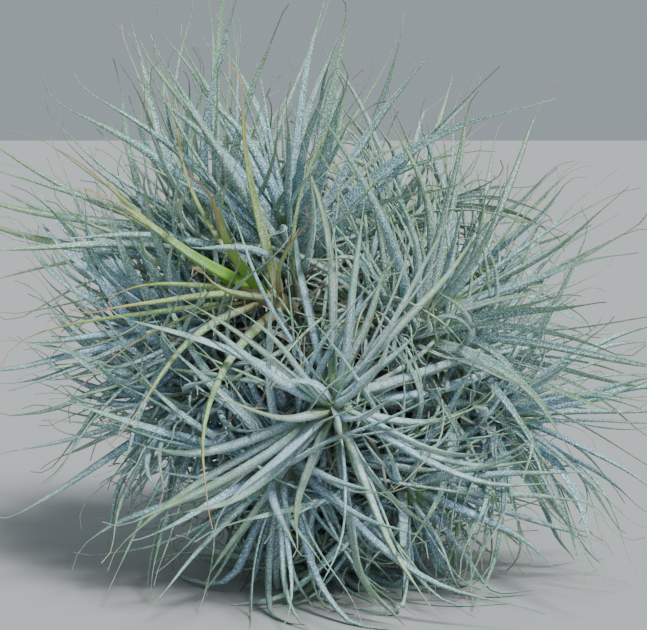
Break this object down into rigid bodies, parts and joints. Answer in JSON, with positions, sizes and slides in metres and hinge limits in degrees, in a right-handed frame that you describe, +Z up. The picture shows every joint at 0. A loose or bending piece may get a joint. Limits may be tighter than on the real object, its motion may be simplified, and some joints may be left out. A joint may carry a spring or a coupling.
{
  "type": "air plant",
  "caption": "Air plant clump: rosettes of narrow, channelled, silvery leaves with thread-like tips, grown from old woody stems into a loose ball that rests on its lowest rosette.",
  "frame": {"origin": "middle of the flat spot under the lowest rosette's heart, on the surface that the clump lies on", "axes": "+Z up, -Y towards the side that the picture shows, +X to that view's right"},
  "size_m": [0.2762, 0.2503, 0.2299],
  "materials": {
    "silver_leaf": "matte",
    "yellow_green_leaf": "matte",
    "dry_stem": "matte"
  },
  "bodies": {
    "root": {"rosette_front": "silver_leaf", "rosette_lower_left": "silver_leaf", "rosette_lower_right": "silver_leaf", "rosette_right": "silver_leaf", "rosette_upper_right": "silver_leaf", "rosette_top": "silver_leaf", "rosette_upper_left": "silver_leaf", "rosette_left": "silver_leaf", "rosette_left_low": "silver_leaf", "rosette_pale": "yellow_green_leaf", "rosette_top_right": "silver_leaf", "rosette_right_high": "silver_leaf", "rosette_right_middle": "silver_leaf", "rosette_bottom_left": "silver_leaf", "rosette_bottom": "silver_leaf", "rosette_bottom_right": "silver_leaf", "rosette_back_top": "silver_leaf", "rosette_back_left_high": "silver_leaf", "rosette_back_right_high": "silver_leaf", "rosette_back": "silver_leaf", "rosette_back_left_low": "silver_leaf", "rosette_back_right_low": "silver_leaf", "rosette_back_low": "silver_leaf", "rosette_under_left": "silver_leaf", "rosette_middle": "silver_leaf", "old_stems": "dry_stem"}
  },
  "joints": []
}
